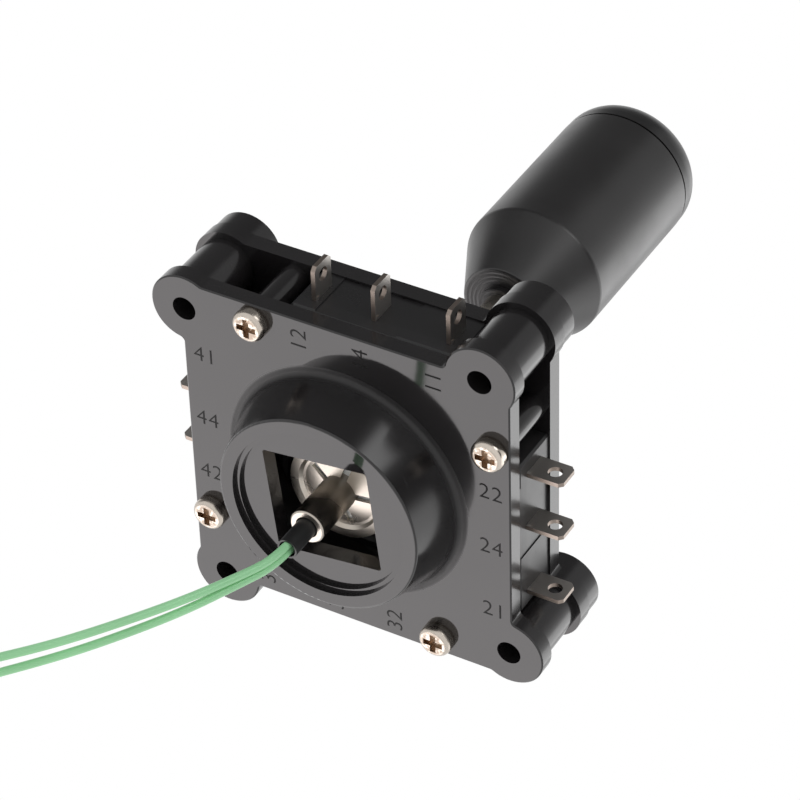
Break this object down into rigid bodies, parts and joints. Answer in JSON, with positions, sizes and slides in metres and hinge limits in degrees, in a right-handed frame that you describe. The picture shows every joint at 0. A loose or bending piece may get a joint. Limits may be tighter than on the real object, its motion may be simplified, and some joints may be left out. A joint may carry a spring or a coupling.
{
  "type": "industrial joystick",
  "caption": "Panel-mounted switch joystick: a square plate pair with snap-action switches between, a sprung swinging shaft in a square gate, and a grip with a push button.",
  "frame": {"origin": "centre of the four front bosses' faces, which sit against the machine's panel", "axes": "+Z along the upright shaft towards the grip; X and Y along the square plates' sides"},
  "size_m": [0.0473, 0.0468, 0.1592],
  "materials": {
    "housing": "glossy moulded black",
    "gate": "glossy moulded black",
    "switch_case": "moulded black",
    "switch_cover": "moulded black",
    "plunger": "natural acetal",
    "terminal": "tinned",
    "screw": "bright nickel",
    "steel": "polished steel",
    "spring_steel": "drawn wire",
    "retainer": "stamped bright steel",
    "actuator": "moulded white",
    "grip": "satin black",
    "button": "satin black",
    "button_switch": "moulded dark grey",
    "sleeve": "shrunk black",
    "wire": "light green insulation",
    "tinned": "tinned copper"
  },
  "bodies": {
    "housing": {"rear_housing": "housing", "front_housing": "housing", "gate_disc": "gate", "housing_screws": "screw", "spring_washer": "steel", "switch_case_1": "switch_case", "switch_cover_1": "switch_cover", "terminals_1": "terminal", "switch_case_2": "switch_case", "switch_cover_2": "switch_cover", "terminals_2": "terminal", "switch_case_3": "switch_case", "switch_cover_3": "switch_cover", "terminals_3": "terminal", "switch_case_4": "switch_case", "switch_cover_4": "switch_cover", "terminals_4": "terminal"},
    "gimbal": {"pivot_race": "steel", "race_pins": "steel"},
    "stick": {"pivot_ball": "steel", "ball_pins": "steel", "shaft": "steel", "actuator": "actuator", "star_retainer": "retainer", "centring_spring": "spring_steel", "grip_body": "grip", "button_switch": "button_switch", "button_tabs": "terminal", "button_spring": "spring_steel", "sleeve": "sleeve", "lead_1": "wire", "lead_2": "wire", "wire_1": "wire", "wire_2": "wire", "wire_tips": "tinned"},
    "button": {"button_cap": "button"},
    "plunger_body_1": {"plunger_1": "plunger"},
    "plunger_body_2": {"plunger_2": "plunger"},
    "plunger_body_3": {"plunger_3": "plunger"},
    "plunger_body_4": {"plunger_4": "plunger"}
  },
  "joints": [
    {"name": "tilt_x", "type": "hinge", "parent": "housing", "child": "gimbal", "pos_m": [0, 0, -0.0039], "axis": [1, 0, 0], "range_deg": [-14.5, 14.5], "stiffness_Nm_per_rad": 0.4, "deforming": ["centring_spring"]},
    {"name": "tilt_y", "type": "hinge", "parent": "gimbal", "child": "stick", "pos_m": [0, 0, -0.0039], "axis": [0, 1, 0], "range_deg": [-14.5, 14.5], "stiffness_Nm_per_rad": 0.4, "deforming": ["centring_spring"]},
    {"name": "button_press", "type": "slide", "parent": "stick", "child": "button", "axis": [0, 0, 1], "range_m": [-0.00025, 0], "stiffness_N_per_m": 500, "springref_m": 0.001, "deforming": ["button_spring"]},
    {"name": "plunger_slide_1", "type": "slide", "parent": "housing", "child": "plunger_body_1", "axis": [0, 1, 0], "range_m": [-0.001, 0.001]},
    {"name": "plunger_slide_2", "type": "slide", "parent": "housing", "child": "plunger_body_2", "axis": [1, 0, 0], "range_m": [-0.001, 0.001]},
    {"name": "plunger_slide_3", "type": "slide", "parent": "housing", "child": "plunger_body_3", "axis": [0, 1, 0], "range_m": [-0.001, 0.001]},
    {"name": "plunger_slide_4", "type": "slide", "parent": "housing", "child": "plunger_body_4", "axis": [1, 0, 0], "range_m": [-0.001, 0.001]}
  ],
  "couplings": [
    {"joint": "plunger_slide_1", "follows": "tilt_x", "m_per_rad": 0.0038},
    {"joint": "plunger_slide_2", "follows": "tilt_y", "m_per_rad": -0.0038},
    {"joint": "plunger_slide_3", "follows": "tilt_x", "m_per_rad": 0.0038},
    {"joint": "plunger_slide_4", "follows": "tilt_y", "m_per_rad": -0.0038}
  ]
}
